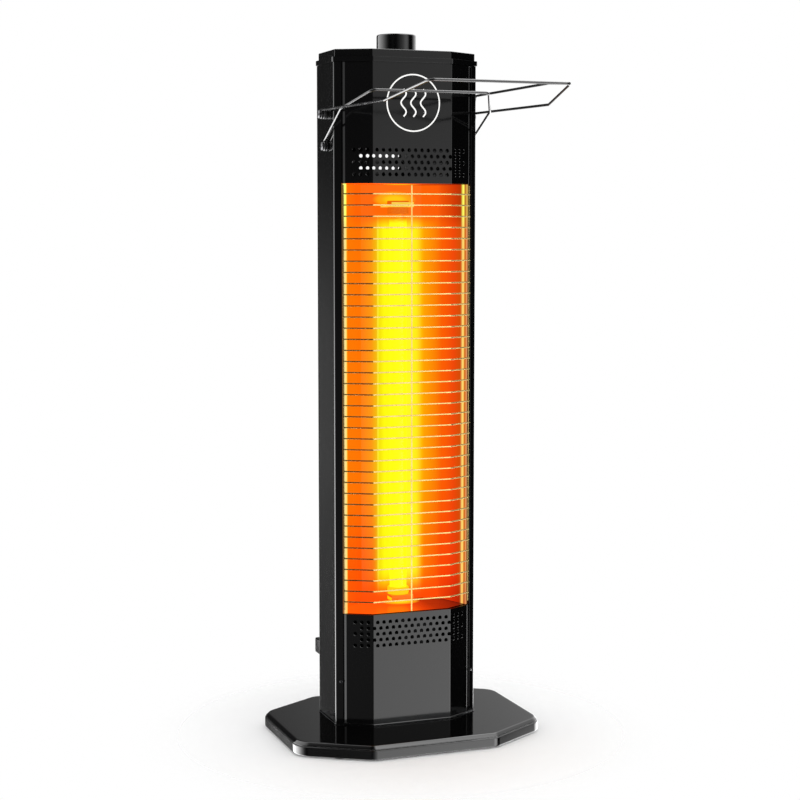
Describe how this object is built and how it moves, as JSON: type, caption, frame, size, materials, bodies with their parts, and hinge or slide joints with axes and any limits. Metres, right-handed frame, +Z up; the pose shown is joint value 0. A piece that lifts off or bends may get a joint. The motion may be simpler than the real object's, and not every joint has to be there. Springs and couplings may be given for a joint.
{
  "type": "outdoor tower heater",
  "caption": "Free-standing tower heater with a glowing tube behind a wire grille, a top knob, an octagonal base and a folding wire towel rack.",
  "frame": {"origin": "on the floor under the middle of the base, at the centre of the middle rubber pad", "axes": "+Z is up, -Y is towards the heater's front, and +X is to the right as seen from the front"},
  "size_m": [0.334, 0.4476, 0.9],
  "materials": {
    "gloss_black_paint": "gloss black enamel on sheet steel",
    "black_plastic": "gloss black moulded plastic",
    "black_wire": "satin black coated wire",
    "chrome_wire": "plated wire, warmed by the glow behind it",
    "black_screw": "blackened steel",
    "bright_steel": "zinc plated steel",
    "polished_reflector": "polished, lit warm by the tube",
    "quartz_glass": "clear quartz lit amber",
    "glowing_element": "glowing carbon element",
    "white_ceramic": "matt unglazed",
    "black_rubber": "matt",
    "red_plastic": "moulded"
  },
  "bodies": {
    "tower": {"side_panel_left": "gloss_black_paint", "side_panel_right": "gloss_black_paint", "back_panel": "gloss_black_paint", "front_panel_upper": "gloss_black_paint", "front_panel_lower": "gloss_black_paint", "top_cap": "gloss_black_paint", "base_cover": "gloss_black_paint", "tower_foot_flange": "gloss_black_paint", "base_tray": "black_plastic", "rotary_switch": "black_plastic", "inlet_housing": "black_plastic", "terminal_block": "black_plastic", "tip_switch_body": "black_plastic", "thermal_cutout": "black_plastic", "front_grille": "chrome_wire", "corner_screw_left": "black_screw", "corner_screw_right": "black_screw", "back_screw_1": "black_screw", "back_screw_2": "black_screw", "back_screw_3": "black_screw", "back_screw_4": "black_screw", "inner_pivot_screw_left": "black_screw", "inner_pivot_screw_right": "black_screw", "outer_pivot_screw_left": "black_screw", "outer_pivot_screw_right": "black_screw", "base_weight_plate": "bright_steel", "base_screw_1": "bright_steel", "base_screw_2": "bright_steel", "base_screw_3": "bright_steel", "base_screw_4": "bright_steel", "switch_nut": "bright_steel", "switch_bracket": "bright_steel", "heat_baffle": "bright_steel", "tube_clip_top": "bright_steel", "tube_clip_bottom": "bright_steel", "inner_pivot_washer_left": "bright_steel", "inner_pivot_washer_right": "bright_steel", "outer_pivot_washer_left": "bright_steel", "outer_pivot_washer_right": "bright_steel", "reflector": "polished_reflector", "reflector_end_top": "polished_reflector", "reflector_end_bottom": "polished_reflector", "heater_tube": "quartz_glass", "heating_element": "glowing_element", "ceramic_cap_top": "white_ceramic", "ceramic_cap_bottom": "white_ceramic", "foot_pad_centre": "black_rubber", "foot_pad_front_left": "black_rubber", "foot_pad_front_right": "black_rubber", "foot_pad_back_left": "black_rubber", "foot_pad_back_right": "black_rubber", "cord_gland": "black_rubber"},
    "knob": {"control_knob": "black_plastic", "switch_shaft": "bright_steel"},
    "outer_rack": {"rack_outer_frame": "black_wire"},
    "inner_rack": {"rack_inner_frame": "black_wire"},
    "tip_plunger": {"tip_switch_plunger": "red_plastic"}
  },
  "joints": [
    {"name": "knob_turn", "type": "hinge", "parent": "tower", "child": "knob", "pos_m": [0, 0.017, 0.889], "axis": [0, 0, -1], "range_deg": [0, 270]},
    {"name": "outer_rack_fold", "type": "hinge", "parent": "tower", "child": "outer_rack", "pos_m": [0, 0.0115, 0.798], "axis": [1, 0, 0], "range_deg": [-90, 75]},
    {"name": "inner_rack_fold", "type": "hinge", "parent": "tower", "child": "inner_rack", "pos_m": [0, 0.0115, 0.758], "axis": [1, 0, 0], "range_deg": [-30, 84]},
    {"name": "tip_plunger_slide", "type": "slide", "parent": "tower", "child": "tip_plunger", "axis": [0, 0, -1], "range_m": [0, 0.0035], "stiffness_N_per_m": 30, "springref_m": 0.006}
  ]
}
